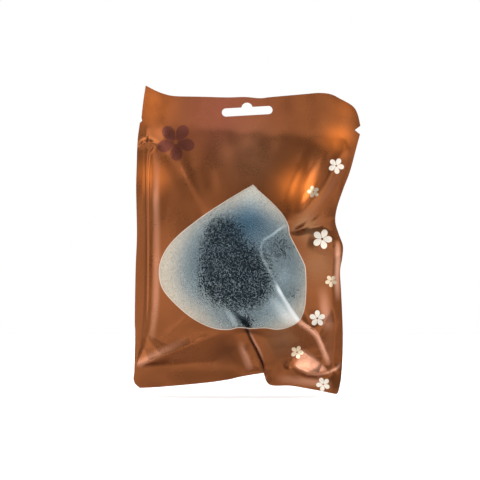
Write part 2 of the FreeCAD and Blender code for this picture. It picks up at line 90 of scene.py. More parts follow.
def curve(points, step):
    """Even run of places on a smooth line through points; any further values are carried along."""
    p = np.array(points, float)
    ends = np.vstack([2 * p[0] - p[1], p, 2 * p[-1] - p[-2]])
    run = []
    for a, b, c, d in zip(ends, ends[1:], ends[2:], ends[3:]):
        count = max(1, int(math.ceil(np.hypot(*(c - b)[:2]) / step)))
        t = np.arange(count)[:, None] / count
        run.append(0.5 * (2 * b + (c - a) * t + (2 * a - 5 * b + 4 * c - d) * t**2
                          + (3 * b - a - 3 * c + d) * t**3))
    return np.vstack(run + [p[-1:]])


def joined(runs, step):
    """Closed outline made of smooth runs, each starting at the corner where the one before ends."""
    return np.vstack([curve(run, step)[:-1] for run in runs])


def from_peg(column, row):
    """Millimetres to the right of the peg and above it, for a column and a row."""
    return (column - PEG[0]) * PIXEL, (PEG[1] - row) * PIXEL


def inside(outline, u, v):
    """True for places inside a closed outline."""
    found = np.zeros(np.shape(u), bool)
    for (au, av), (bu, bv) in zip(outline, np.roll(outline, -1, axis=0)):
        crosses = (av > v) != (bv > v)
        if bv != av:
            found ^= crosses & (u < (bu - au) * (v - av) / (bv - av) + au)
    return found


def nearest(line, u, v):
    """Distance to a line, the side of it, and the values it carries, for an array of places."""
    best = np.full(np.shape(u), HUGE)
    side = np.zeros(np.shape(u))
    carried = np.zeros(np.shape(u))
    for a, b in zip(line, line[1:]):
        du, dv = b[0] - a[0], b[1] - a[1]
        long = du * du + dv * dv
        if long == 0:
            continue
        t = np.clip(((u - a[0]) * du + (v - a[1]) * dv) / long, 0, 1)
        away = np.hypot(u - a[0] - t * du, v - a[1] - t * dv)
        closer = away < best
        best = np.where(closer, away, best)
        cross = du * (v - a[1]) - dv * (u - a[0])
        side = np.where(closer, np.sign(cross), side)
        if len(a) > 2:
            carried = np.where(closer, a[2] + t * (b[2] - a[2]), carried)
    return best, side, carried


def blur(field, cells):
    """Smooth a field over a number of cells."""
    rows = np.fft.fftfreq(field.shape[0])[:, None]
    columns = np.fft.rfftfreq(field.shape[1])[None, :]
    keep = np.exp(-2 * (math.pi * cells) ** 2 * (rows**2 + columns**2))
    return np.fft.irfft2(np.fft.rfft2(field) * keep, s=field.shape)


def sample(field, u, v):
    """Value of a field between its cells."""
    column = np.clip((u - COLUMNS[0]) / CELL, 0, len(COLUMNS) - SHORT_OF_END)
    row = np.clip((v - ROWS[0]) / CELL, 0, len(ROWS) - SHORT_OF_END)
    c, r = column.astype(int), row.astype(int)
    s, t = column - c, row - r
    upper = field[r, c] * (1 - s) + field[r, c + 1] * s
    lower = field[r + 1, c] * (1 - s) + field[r + 1, c + 1] * s
    return upper * (1 - t) + lower * t


def ramp(value, low, high):
    """Smooth step from 0 at low to 1 at high."""
    t = np.clip((value - low) / (high - low), 0, 1)
    return t * t * (3 - 2 * t)


def fold(field, points, left, right, shape):
    """Raise a field along a line of (column, row, height), fading out to the left and right widths."""
    line = curve(points, FOLD_STEP)
    wide = max(left, right)
    near = (U > line[:, 0].min() - wide) & (U < line[:, 0].max() + wide)
    near &= (V > line[:, 1].min() - wide) & (V < line[:, 1].max() + wide)
    away, side, height = nearest(line, U[near], V[near])
    share = np.clip(away / np.where(side < 0, left, right), 0, 1)
    field[near] += height * shape(share)


def crease(share):
    """Section of a sharp fold."""
    return (1 - share) ** 2


def swell(share):
    """Section of a soft fold."""
    return (1 - share**2) ** 2


def facets(field, edge, lines):
    """Crumple part of a field into flat facets between lines of (column, row, height), fading to its edge."""
    places = [(u, v, float(sample(field, np.array([u]), np.array([v]))[0]), 0.0) for u, v in edge]
    links = [(i, (i + 1) % len(edge)) for i in range(len(edge))]
    for line in lines:
        links += [(len(places) + i, len(places) + i + 1) for i in range(len(line) - 1)]
        places += [(u, v, height, 1.0) for u, v, height in line]
    flat = [Vector(p[:2]) for p in places]
    faces = delaunay_2d_cdt(flat, links, [], INSIDE_ONLY, WELD, False)[2]
    heights = np.array(places)
    crumpled = field.copy()
    for face in faces:
        (au, av, ah, aw), (bu, bv, bh, bw), (cu, cv, ch, cw) = heights[list(face)]
        area = (bu - au) * (cv - av) - (cu - au) * (bv - av)
        if abs(area) < SMALL:
            continue
        left, right = min(au, bu, cu), max(au, bu, cu)
        top, foot = min(av, bv, cv), max(av, bv, cv)
        rows = slice(*np.searchsorted(ROWS, (top, foot + CELL)))
        columns = slice(*np.searchsorted(COLUMNS, (left, right + CELL)))
        u, v = U[rows, columns], V[rows, columns]
        b = ((u - au) * (cv - av) - (cu - au) * (v - av)) / area
        c = ((bu - au) * (v - av) - (u - au) * (bv - av)) / area
        a = 1 - b - c
        within = (a >= -TINY) & (b >= -TINY) & (c >= -TINY)
        share = a * aw + b * bw + c * cw
        height = a * ah + b * bh + c * ch
        part = crumpled[rows, columns]
        part[within] = (field[rows, columns] * (1 - share) + height * share)[within]
    field[:] = crumpled


def patch(outline, edge):
    """A field that is 1 inside an outline and fades to 0 over an edge of so many pixels."""
    return blur(inside(np.array(outline), U, V).astype(float), edge / CELL / 2)


def spots(rows):
    """A field of round spots, each (column, row, radius, height)."""
    field = np.zeros(U.shape)
    for column, row, radius, height in rows:
        field += height * np.exp(-((U - column) ** 2 + (V - row) ** 2) / radius**2)
    return field


def strokes(rows):
    """A field of soft strokes, each a left and a right width and a line of (column, row, height)."""
    field = np.zeros(U.shape)
    for left, right, points in rows:
        fold(field, points, left, right, swell)
    return field


# Outline of the pack, clockwise from the left tear notch
LEFT_NOTCH = (142.0, 120.6)
RIGHT_NOTCH = (354.8, 130.1)
TIP = (145.4, 85.0)
LOW_RIGHT = (336.2, 393.9)
PLEAT_FOOT = (263.4, 372.3)
TOP_EDGE = [
    (155.7, 90.4), (164.6, 93.9), (175.4, 96.1), (200.4, 96.7), (227.1, 97.4), (245, 97), (260, 98.2),
    (271.8, 97), (304.4, 94.1), (319.6, 92.9), (331, 94.3), (340, 98.6),
]
LOW_RIGHT_EDGE = [(322.0, 390.9), (307.0, 388.1), (289.8, 385.4), (273.0, 385.3)]
LOW_LEFT_EDGE = [(240.0, 376.7), (227.1, 379.6), (200.4, 383.1), (146.8, 387.6)]
LEFT_EDGE = [
    (135.2, 333.6), (134.8, 319.3), (135.6, 269.3), (136.9, 233.6), (136.1, 190), (136.5, 167.1),
    (137.4, 140.4),
]
header_runs = [
    [LEFT_NOTCH, (141.2, 117.4)],
    [(141.2, 117.4), (143, 101), TIP],
    [TIP, *TOP_EDGE, (352.6, 105.9), (357.6, 114), (360.4, 125.8)],
    [(360.4, 125.8), RIGHT_NOTCH],
    [RIGHT_NOTCH, LEFT_NOTCH],
]
pouch_runs = [
    [LEFT_NOTCH, RIGHT_NOTCH],
    [RIGHT_NOTCH, (360, 134.3)],
    [(360, 134.3), (356.4, 147.6), (350, 171.5), (343.4, 188.8), (336.9, 208.4), (335.4, 222),
     (339, 234.4), (343, 246), (342.3, 258.2), (340.2, 271.3), (341.3, 293), (342.8, 327.7),
     (342.8, 353.7), (341.3, 375.4), (338.4, 390.6), LOW_RIGHT],
    [LOW_RIGHT, *LOW_RIGHT_EDGE, (266.8, 381.8), PLEAT_FOOT],
    [PLEAT_FOOT, (259.3, 373.3), *LOW_LEFT_EDGE, (137.9, 386.3), (133.6, 380), (134.3, 369.3), *LEFT_EDGE,
     (139.6, 122.5)],
    [(139.6, 122.5), LEFT_NOTCH],
]

# Nets of triangles: spacing in millimetres, the share of it kept clear of an edge, and the size in pixels
# below which a triangle is dropped
NET = 0.8
BEAD_NET = 1.5
CROWDED = 0.6
SLIVER = 0.02
header_outline = joined(header_runs, NET / PIXEL)
pouch_outline = joined(pouch_runs, NET / PIXEL)

# Window, an upside-down heart
APEX = (253.0, 185.8)
CLEFT = (250.5, 327.6)
window_runs = [
    [APEX, (259.1, 192.1), (271.2, 203.2), (282.1, 215.3), (287.5, 226), (289, 235), (295.4, 247.9),
     (303.2, 263.6), (304.8, 272), (305.2, 289), (303.7, 307.2), (298.8, 319.2), (289.3, 325.6),
     (277.2, 328.4), (265.1, 326.9), CLEFT],
    [CLEFT, (238.5, 326.6), (228.8, 328.6), (216.6, 327.8), (204.5, 323.6), (192.4, 316.7), (180.3, 307.2),
     (168.2, 295.1), (162.1, 285.4), (159.8, 273.3), (161.5, 261.2), (168.2, 247.9), (180.3, 234.7),
     (198.5, 220.3), (214.2, 209.4), (234.8, 196.4), APEX],
]
window_outline = joined(window_runs, NET / PIXEL)

# Hang slot: a round-ended bar, tilted a little, with a round bump over its middle
SLOT_MIDDLE = (247.2, 111.3)
SLOT_HALF = 25.4
SLOT_BAR = 4.1
SLOT_BUMP = 5.7
SLOT_RISE = 8.6
SLOT_TILT = math.radians(-3.3)
QUARTER_TURN = 1.57
ARCH_POINTS = 15
END_POINTS = 11


def slot_outline():
    """Outline of the hang slot, clockwise in the front view."""
    lift = math.asin((SLOT_BAR - SLOT_RISE + SLOT_BUMP) / SLOT_BUMP)
    turns = np.linspace(-math.pi + lift, -lift, ARCH_POINTS)
    arch = [(SLOT_BUMP * math.cos(t), SLOT_BUMP * math.sin(t) - SLOT_RISE + SLOT_BUMP) for t in turns]
    flat = SLOT_HALF - SLOT_BAR
    turns = np.linspace(-QUARTER_TURN, QUARTER_TURN, END_POINTS)
    right = [(flat + SLOT_BAR * math.cos(t), SLOT_BAR * math.sin(t)) for t in turns]
    left = [(-x, -y) for x, y in right]
    ring = np.array(arch + right + left)
    cos, sin = math.cos(SLOT_TILT), math.sin(SLOT_TILT)
    return ring @ np.array([[cos, sin], [-sin, cos]]) + np.array(SLOT_MIDDLE)


slot = slot_outline()

# Chamber: the inner edge of the seals, where the front and back webs part
chamber = curve([
    (147.5, 128), (200, 130), (250, 132.5), (300, 135), (349, 138), (346, 152),
    (339, 176), (331, 200), (327, 221), (331, 238), (333, 256), (332, 290),
    (334, 325), (334, 350), (331, 370), (315, 374), (295, 370), (275, 367),
    (262, 360), (245, 358), (225, 361), (190, 364.5), (160, 366.5), (140, 366),
    (145, 345), (146.5, 325), (147, 270), (147.5, 210), (147.5, 160), (147.5, 128),
], CHAMBER_STEP)


def dome(distance):
    """Front of the sponge with its clearance, at a distance from its axis in millimetres."""
    join = CROWN * math.cos(math.atan2(CROWN_BACK - WIDEST, RADIUS - SHOULDER))
    crown = np.sqrt(np.maximum((CROWN + CLEAR) ** 2 - distance**2, 0)) - CROWN_BACK
    out = np.sqrt(np.maximum((SHOULDER + CLEAR) ** 2 - (distance - RADIUS + SHOULDER) ** 2, 0)) - WIDEST
    return np.where(distance <= join, crown, out)


def rim(distance):
    """Back of the sponge with its clearance, at a distance from its axis in millimetres."""
    flat = RADIUS - EDGE
    out = np.sqrt(np.maximum((EDGE + CLEAR) ** 2 - np.maximum(distance - flat, 0) ** 2, 0)) + WIDEST
    return np.where(distance <= RADIUS + CLEAR, out, 0)


AWAY = np.hypot(U - SPONGE[0], V - SPONGE[1]) * PIXEL


def reach():
    """Distance from the sponge's axis to the edge of the chamber, through each cell, in millimetres."""
    du, dv = U - SPONGE[0], V - SPONGE[1]
    length = np.maximum(np.hypot(du, dv), SMALL)
    du, dv = du / length, dv / length
    found = np.full(U.shape, HUGE)
    for a, b in zip(chamber, chamber[1:]):
        eu, ev = b[0] - a[0], b[1] - a[1]
        cross = du * ev - dv * eu
        cross = np.where(np.abs(cross) < TINY, TINY, cross)
        along = ((a[0] - SPONGE[0]) * ev - (a[1] - SPONGE[1]) * eu) / cross
        share = ((a[0] - SPONGE[0]) * dv - (a[1] - SPONGE[1]) * du) / cross
        hit = (along > 0) & (share >= -SMALL) & (share <= 1 + SMALL)
        found = np.where(hit & (along < found), along, found)
    return found * PIXEL


REACH = reach()


# Number of radii and of seal distances that are tried for where taut film leaves the sponge
DRAPE_RADII = 161
DRAPE_SEALS = 300


def drape(profile):
    """Taut film from the seals to where it meets a round profile."""
    steps = np.linspace(0, RADIUS, DRAPE_RADII)
    edges = np.linspace(RADIUS + 2 * MARGIN, REACH.max() + MARGIN, DRAPE_SEALS)
    slopes = profile(steps)[None, :] / (edges[:, None] - steps[None, :])
    steepest = slopes.argmax(axis=1)
    slope = np.interp(REACH, edges, slopes.max(axis=1))
    contact = np.interp(REACH, edges, steps[steepest])
    return np.where(AWAY < contact, profile(AWAY), np.maximum(slope * (REACH - AWAY), 0))


# Random wrinkles: their wavelengths and heights in millimetres. A wavelength is WAVE times the blur it takes.
WAVE = 6
FINE_WAVES = (1.5, 6.0)
BROAD_WAVES = (8.0, 30.0)
EDGE_WAVES = (25.0, 60.0)
FINE_HEIGHT = 0.03
FRONT_BROAD_HEIGHT = 0.006
BACK_BROAD_HEIGHT = 0.05
EDGE_HEIGHT = 0.1


def crumple(short, long, ridged=False):
    """Random film wrinkles with wavelengths between two lengths in millimetres."""
    field = rng.standard_normal(U.shape)
    cells = 1 / (PIXEL * CELL)
    field = blur(field, short * cells / WAVE) - blur(field, long * cells / WAVE)
    field = field / field.std()
    return 1 - np.abs(field) if ridged else field


# Front web: taut over the sponge, softer above these rows, then folded. Blurs are in cells.
SOFT_ROWS = (205, 250)
TAUT_BLUR = 2.0
SOFT_BLUR = 12.0
CREASE_BLUR = 1.8
taut = drape(dome)
soft = 1 - ramp(V, *SOFT_ROWS)
front = blur(taut, TAUT_BLUR) * (1 - soft) + blur(taut, SOFT_BLUR) * soft
front_folds = [
    # Left seal: a bright lip beside its dark line, and the pinch near its top
    (crease, 2.5, 5, [(149.5, 128, 0), (149.5, 152, 0.7), (149.5, 230, 0.7), (148.5, 300, 0.6),
                      (146, 340, 0)]),
    (crease, 3, 3, [(146, 128, -0.3), (146, 155, -1), (146, 230, -1), (145.5, 300, -1),
                    (142.5, 335, -1), (139, 358, -0.8), (136, 367, -0.4)]),
    (crease, 6, 5, [(138, 149, 0.3), (145, 143, 1.8), (152, 143.5, 1.6), (159, 147, 0)]),
    (crease, 3, 4, [(155, 144, 0), (151, 148, -1.8), (147.5, 154, -1.6), (146.2, 168, -0.4)]),
    # Upper panel: soft creases and the fold that runs to the right notch
    (swell, 9, 7, [(180, 150, 0), (184, 168, 0.25), (191, 188, 0.3), (201, 208, 0)]),
    (swell, 9, 9, [(206, 160, 0), (211, 180, -0.2), (214, 196, 0)]),
    (swell, 14, 9, [(299, 224, 0), (311, 207, 2.2), (324, 190, 2.8), (335, 170, 2.2), (342, 152, 0.8)]),
    (swell, 13, 12, [(292, 212, 0), (299, 192, -1.8), (308, 172, -1.8), (318, 150, -0.4)]),
    (swell, 10, 10, [(166, 178, 0), (158, 205, 0.3), (156, 232, 0)]),
    # Tuck beside the window and the fold across to the waist
    (crease, 7, 6, [(286, 234, 0), (293, 231.5, -1.4), (300, 229, -3.2), (306, 224, -2.2), (314, 216, -0.8),
                    (324, 206, 0)]),
    (crease, 7, 10, [(298, 230, -1.6), (312, 227, -2.6), (326, 225, -2.4), (337, 224, -1)]),
    (swell, 9, 12, [(308, 240, 0), (320, 243, 1.2), (333, 246, 0.8)]),
    # Lifted flap of the window film
    (crease, 8, 5, [(290, 223, 0), (284, 226, 1.3), (272, 235, 1.3), (263, 241, 0.9), (260.5, 249, 0.8),
                    (263, 259, 0.8), (269, 270, 0.6), (276, 284, 0)]),
    # Start of the fold from the sponge to the low right corner
    (crease, 12, 10, [(270, 278, 0), (277, 287, 1.2), (287, 303, 2.2), (299, 320, 3), (311, 329, 0)]),
    # Cleft of the window
    (crease, 5, 6, [(222, 302, 0), (230, 312, -1.2), (240, 323, -2.2), (249, 329, -3), (258, 331, -1.8),
                    (268, 332, 0)]),
]
for shape, left, right, points in front_folds:
    fold(front, points, left, right, shape)

# Gathered film under the sponge, parted by a knife pleat whose right panel laps over the left one
gather_edge = [
    (140, 330), (152, 322), (170, 318), (188, 325), (205, 328), (222, 323), (236, 325), (246, 322),
    (262, 322), (278, 322), (290, 316), (303, 308), (318, 303), (334, 305), (342, 320), (342, 352),
    (341, 376), (335, 391), (307, 387), (289, 384.5), (273, 384), (266, 380), (263, 372), (240, 376),
    (200, 382), (146, 386), (136, 384), (135, 368),
]
gather_lines = [
    # Crest between the left facet and the dark band above the bottom seal
    [(137.5, 365.5, 0.7), (150, 361, 4.2), (163, 356, 6.6), (178, 350, 8.4), (192, 344, 9.4), (206, 338, 9.8),
     (220, 333, 9.4)],
    [(141, 367, 0), (165, 365.5, 0.2), (190, 362.5, 0.4), (215, 360.5, 0.5), (231, 360, 0.8)],
    [(147, 335, 0.6), (143.5, 348, 0.6), (139, 360, 0.5)],
    # Facet left of the pleat
    [(222, 346, 4), (228, 353, 1.6), (233, 361, 0.8)],
    [(233, 334, 8.6), (240, 345, 6.2), (246, 356, 5.2), (251.5, 366, 3.8)],
    # Pleat: foot on the left, lip on the right
    [(246.5, 331, 6.2), (251, 341, 4), (257, 352, 2.4), (262, 363, 0.9), (263.2, 371.5, 0)],
    [(248, 330, 9.2), (252.6, 340.4, 7.8), (258.6, 351.4, 6.2), (263.6, 362.4, 4.6), (265.4, 371, 3)],
    [(266, 338, 6), (272, 349, 3.2), (277, 360, 1.4), (274, 369, 0.6)],
    [(282, 336, 6.4), (288, 348, 2.4), (290, 358, 0.8)],
    [(284, 368, 1.6), (288.5, 366.5, 0.1), (292, 368.5, 1.4)],
    # Long fold down to the right corner
    [(299, 321, 12.2), (311, 329, 10.2), (318, 337, 8.8), (322, 346, 7.2), (326, 355, 5.2), (330, 366, 1.4)],
    [(290, 331, 6.6), (300, 339, 4.4)],
    [(325, 322, 5.4), (327, 335, 4.2), (330, 347, 2.2)],
    [(334, 322, 0.6), (333.6, 335, 0.1), (333, 350, 0.1), (331.5, 362, 0.1)],
    # Raised triangle above the low right seal
    [(303, 349, 1), (312, 356, 3.3), (321, 364, 5.4), (327, 369, 3.6)],
    [(294.5, 366, 3.2), (300, 370, 4.6), (307, 372.5, 5.9), (317, 373, 6), (326, 372.5, 3.2)],
    [(297, 374, 0.3), (306, 378, 0.3), (318, 379, 0.3), (331, 376, 0.2)],
]
facets(front, gather_edge, gather_lines)
front = blur(front, CREASE_BLUR)

# Fine wrinkles, strongest beside the seals and none on the flat top
SEAL_REACH = 6
FLAT_TOP = (140, 175)
edge_away = nearest(chamber, U, V)[0]
beside_seal = np.exp(-((edge_away / SEAL_REACH) ** 2))
fine = crumple(*FINE_WAVES)
broad = crumple(*BROAD_WAVES, ridged=True)
below_top = ramp(V, *FLAT_TOP)
off_dome = ramp(AWAY, 26, 40)
front += (fine * FINE_HEIGHT * beside_seal + broad * FRONT_BROAD_HEIGHT * off_dome) * below_top

# The front web stays clear of the sponge, with a little give, and of the back web
GIVE = 0.05
front = np.maximum(front, np.where(AWAY < RADIUS + MARGIN, dome(AWAY) - GIVE, 0))
front = np.maximum(front, 0.0)

# Middle surface of the sealed edges: corners that curl and edges that wave, by so many millimetres
TOP_RIGHT_CURL = 1.5
TIP_CURL = 5.0
BOTTOM_LIFT = 3.5
RIGHT_CURL = 2.0
EDGE_BLUR = 4.0
middle = np.zeros(U.shape)
middle -= TOP_RIGHT_CURL * ramp((U - 300) * 0.75 - (V - 92) * 0.75, 0, 45) ** 2
middle -= TIP_CURL * ramp(184 - U - 0.35 * (V - 85), 0, 44)
middle += BOTTOM_LIFT * ramp(V, 362, 390) * ramp(U, 128, 170)
middle -= RIGHT_CURL * ramp(U, 330, 346) * ramp(V, 150, 200)
middle += EDGE_HEIGHT * crumple(*EDGE_WAVES) * ramp(AWAY, 55, 80)
middle = blur(middle, EDGE_BLUR)
middle *= ramp(AWAY, 42, 66)

# Back web: taut over the sponge's flat side, with a little slack
BACK_SLACK = 0.1
back = blur(np.minimum(drape(rim), BACK_DEPTH + CLEAR + BACK_SLACK), TAUT_BLUR)
back_folds = [
    ([(150, 150, 0), (175, 190, 0.9), (200, 225, 0)], 8, 8),
    ([(335, 150, 0), (310, 190, 1), (285, 225, 0)], 8, 10),
    ([(140, 366, 0.2), (165, 340, 1.2), (195, 312, 0)], 9, 9),
    ([(330, 368, 0.3), (312, 345, 1.4), (292, 312, 0)], 9, 9),
    ([(333, 224, 0), (318, 228, -1.3), (300, 234, 0)], 6, 7),
    ([(230, 360, -0.4), (240, 340, -1.4), (246, 322, 0)], 6, 6),
    ([(205, 135, 0), (215, 165, 0.7), (222, 195, 0)], 8, 8),
    ([(262, 136, 0), (258, 170, 0.6), (252, 200, 0)], 7, 7),
    ([(300, 140, 0), (286, 172, -0.7), (272, 206, 0)], 7, 9),
    ([(180, 134, 0), (190, 170, -0.6), (204, 212, 0)], 9, 7),
    ([(150, 240, 0), (168, 247, 0.7), (188, 253, 0)], 6, 7),
    ([(150, 300, 0), (168, 294, -0.7), (190, 287, 0)], 7, 6),
    ([(330, 285, 0), (314, 282, 0.6), (296, 280, 0)], 6, 7),
    ([(200, 360, 0), (208, 344, 0.7), (216, 326, 0)], 6, 6),
    ([(284, 364, 0), (276, 346, 0.8), (268, 326, 0)], 6, 6),
]
for points, left, right in back_folds:
    fold(back, points, left, right, crease)
back += crumple(*FINE_WAVES) * FINE_HEIGHT * beside_seal * below_top
back += crumple(*BROAD_WAVES, ridged=True) * BACK_BROAD_HEIGHT * ramp(AWAY, 34, 44) * below_top
flat_back = np.where(AWAY < RADIUS - EDGE, BACK_DEPTH + CLEAR, rim(AWAY))
back = np.maximum(back, np.where(AWAY < RADIUS + MARGIN, flat_back, 0))
back = np.maximum(back, 0.0)
back = np.where(AWAY < REACH, back, 0.0)


# Meshes

def smooth_mesh(name, points, faces):
    """New mesh with smooth faces."""
    mesh = bpy.data.meshes.new(name)
    mesh.from_pydata(points, [], faces)
    mesh.polygons.foreach_set("use_smooth", np.ones(len(faces), bool))
    mesh.update()
    return mesh


def add(name, data):
    """New object in the scene."""
    made = bpy.data.objects.new(name, data)
    scene.collection.objects.link(made)
    return made


def lattice(outline, spacing):
    """Evenly packed places inside an outline, in columns and rows."""
    wide = spacing / PIXEL
    tall = wide * math.sqrt(3) / 2
    low, high = outline.min(axis=0), outline.max(axis=0)
    rows = np.arange(low[1] + tall / 2, high[1], tall)
    columns = np.arange(low[0], high[0], wide)
    u, v = np.meshgrid(columns, rows)
    u = u + (np.arange(len(rows)) % 2)[:, None] * wide / 2
    keep = inside(outline, u, v)
    return np.stack([u[keep], v[keep]], axis=1)


def net(outline, rings, spacing):
    """Triangles over an outline and its rings: places, corners, and whether a ring holds each one."""
    rings = [outline] + rings
    places = lattice(outline, spacing)
    rim_points = np.vstack(rings)
    tree = KDTree(len(rim_points))
    for index, (u, v) in enumerate(rim_points):
        tree.insert((u, v, 0), index)
    tree.balance()
    clear = np.array([tree.find((u, v, 0))[2] for u, v in places]) > CROWDED * spacing / PIXEL
    flat = [Vector(p) for p in np.vstack([rim_points, places[clear]])]
    edges, start = [], 0
    for ring in rings:
        count = len(ring)
        edges += [(start + i, start + (i + 1) % count) for i in range(count)]
        start += count
    flat, _, faces, *_ = delaunay_2d_cdt(flat, edges, [], WHOLE_HULL, SMALL, False)
    uv = np.array([tuple(p) for p in flat])
    faces = np.array(faces)
    centre = uv[faces].mean(axis=1)
    a, b, c = (uv[faces[:, i]] for i in range(3))
    area = np.cross(b - a, c - a)
    keep = inside(outline, *centre.T) & (np.abs(area) > SLIVER)
    clockwise = area > 0
    faces = np.where(clockwise[:, None], faces[:, ::-1], faces)
    holed = np.zeros(len(faces), bool)
    for ring in rings[1:]:
        holed |= inside(ring, *centre.T)
    return uv, faces[keep], holed[keep]


def sheet(name, uv, faces, depth, thickness):
    """Thin closed web behind a front face: the piece, its places and how many triangles face the front."""
    used, faces = np.unique(faces, return_inverse=True)
    uv = uv[used]
    faces = faces.reshape(-1, 3)
    count = len(uv)
    x, z = from_peg(*uv.T)
    ahead = np.stack([x, -depth(*uv.T), z], axis=1)
    behind = ahead + np.array([0, thickness, 0])
    pairs = np.vstack([faces[:, [0, 1]], faces[:, [1, 2]], faces[:, [2, 0]]])
    ways = set(map(tuple, pairs.tolist()))
    rim_edges = [(p, q) for p, q in pairs.tolist() if (q, p) not in ways]
    walls = [(q, p, p + count, q + count) for p, q in rim_edges]
    polygons = faces.tolist() + (faces[:, ::-1] + count).tolist() + walls
    mesh = smooth_mesh(name, (np.vstack([ahead, behind]) * MM).tolist(), polygons)
    ends = np.zeros(2 * len(mesh.edges), np.int32)
    mesh.edges.foreach_get("vertices", ends)
    ends = np.sort(ends.reshape(-1, 2), axis=1).astype(np.int64)
    rim_keys = np.sort(np.array(rim_edges), axis=1)
    rim_keys = np.vstack([rim_keys, rim_keys + count])
    sharp = np.isin(ends @ (4 * count, 1), rim_keys @ (4 * count, 1))
    mesh.attributes.new("sharp_edge", "BOOLEAN", "EDGE").data.foreach_set("value", sharp)
    return add(name, mesh), np.vstack([uv, uv]), len(faces)


def carry(piece, label, values):
    """Store one number for each point of a piece, for its material."""
    data = piece.data.attributes.new(label, "FLOAT", "POINT").data
    data.foreach_set("value", np.asarray(values, np.float32))


def layer(bulge, offset):
    """Depth of a layer that bulges from the middle surface, set off ahead of it."""
    return lambda u, v: sample(middle, u, v) + sample(bulge, u, v) + offset


places, triangles, in_window = net(pouch_outline, [window_outline], NET)
foil = triangles[~in_window]
front_foil, foil_uv, foil_faces = sheet("front_foil", places, foil, layer(front, FOIL_FACE), WEB)
clear_film, clear_uv, _ = sheet("clear_film", places, triangles, layer(front, CLEAR_FACE), WEB)
back_film, _, back_faces = sheet("back_film", places, triangles, layer(-back, BACK_FACE), WEB)
places, triangles, in_slot = net(header_outline, [slot], NET)
triangles = triangles[~in_slot]
header_foil, head_uv, head_faces = sheet("header_foil", places, triangles, layer(front, FOIL_FACE), WEB)
header_clear_film = sheet("header_clear_film", places, triangles, layer(front, CLEAR_FACE), WEB)[0]
header_back, _, header_back_faces = sheet("header_back", places, triangles, layer(-back, BACK_FACE), WEB)

# Sealed beads between the webs, a little way inside the outline

def inset(edge, across, down):
    """Points of an edge, moved by so many columns and rows."""
    return [(u + across, v + down) for u, v in edge]


def bead(name, holes, runs):
    """Sealed bead, lying between the clear web and the back web."""
    places, triangles, holed = net(joined(runs, BEAD_STEP), holes, BEAD_NET)
    return sheet(name, places, triangles[~holed], layer(front, SEAL_FACE), SEAL)[0]


left_seal = bead("left_seal", [], [
    [(139.6, 124.5), (147, 126.5)],
    [(147, 126.5), (147, 210), (146.6, 270), (146, 325), (144, 345), (139.5, 365)],
    [(139.5, 365), (134.6, 367)],
    [(134.6, 367), *inset(LEFT_EDGE, 0.2, 0), (139.6, 124.5)],
])
right_seal = bead("right_seal", [], [
    [(359.6, 135.5), (356, 147.6), (349.6, 171.5), (343, 188.8), (336.5, 208.4), (335.1, 222),
     (338.6, 234.4), (342.6, 246), (341.9, 258.2), (339.9, 271.3), (341, 293), (342.5, 327.7),
     (342.5, 353.7), (341.6, 369)],
    [(341.6, 369), (332, 370.5)],
    [(332, 370.5), (335, 350), (335, 325), (333, 290), (334, 256), (332, 238),
     (328.5, 221), (332, 200), (340, 176), (347, 152), (350, 138.5)],
    [(350, 138.5), (359.6, 135.5)],
])
bottom_seal = bead("bottom_seal", [], [
    [(139.5, 367), (160, 367.5), (190, 365.5), (225, 362.5), (245, 361), (262, 370.5)],
    [(262, 370.5), (275, 369.5), (295, 372), (315, 376), (332, 372)],
    [(332, 372), (341, 376), (338, 390), (336, 393.4)],
    [(336, 393.4), *inset(LOW_RIGHT_EDGE, 0, -0.5), (267.3, 381.2), (264, 373)],
    [(264, 373), *inset(LOW_LEFT_EDGE, 0, -0.5), (138.1, 385.8), (134, 379.8), (134.6, 369.3)],
    [(134.6, 369.3), (139.5, 367)],
])
header_seal = bead("header_seal", [slot], [
    [(142.2, 116), (143.5, 101), (145.6, 85.6)],
    [(145.6, 85.6), *inset(TOP_EDGE, 0, 0.5), (352.3, 106.4), (357.2, 114.2), (360, 125.5)],
    [(360, 125.5), (300, 122.5), (142.2, 116)],
])

# Sponge: a flattened half ball, its skin SKIN millimetres inside its section and pitted towards HEART.
# A kind of pore has the size of its cell in millimetres, its reach as a share of that, and its depth.
AROUND = 360
CROWN_RINGS = 64
SHOULDER_RINGS = 46
EDGE_RINGS = 16
FLAT_RINGS = 40
HEART = Vector((0, 2.0, 0))
SKIN = 0.06
PORE = (1.9, 0.45, 0.3)
FINE_PORE = (0.9, 0.5, 0.12)
FINE_SHIFT = Vector((5, 3, 1))


def sponge_profile():
    """Radius and depth along half of the sponge's section, from its crown to the middle of its flat."""
    lean = math.atan2(CROWN_BACK - WIDEST, RADIUS - SHOULDER)
    run = [(CROWN * math.sin(t), CROWN * math.cos(t) - CROWN_BACK)
           for t in np.linspace(0, math.pi / 2 - lean, CROWN_RINGS)]
    run += [(RADIUS - SHOULDER + SHOULDER * math.cos(t), SHOULDER * math.sin(t) - WIDEST)
            for t in np.linspace(lean, 0, SHOULDER_RINGS)[1:]]
    run += [(RADIUS - EDGE + EDGE * math.cos(t), -WIDEST - EDGE * math.sin(t))
            for t in np.linspace(0, math.pi / 2, EDGE_RINGS)[1:]]
    run += [(r, -BACK_DEPTH) for r in np.linspace(RADIUS - EDGE, 0, FLAT_RINGS)[1:]]
    return run


def pit(point, pore, shift):
    """How deep a kind of pore is at a point of the sponge, in millimetres."""
    size, wide, depth = pore
    return depth * max(0.0, wide - noise.voronoi(point / size + shift)[0][0])


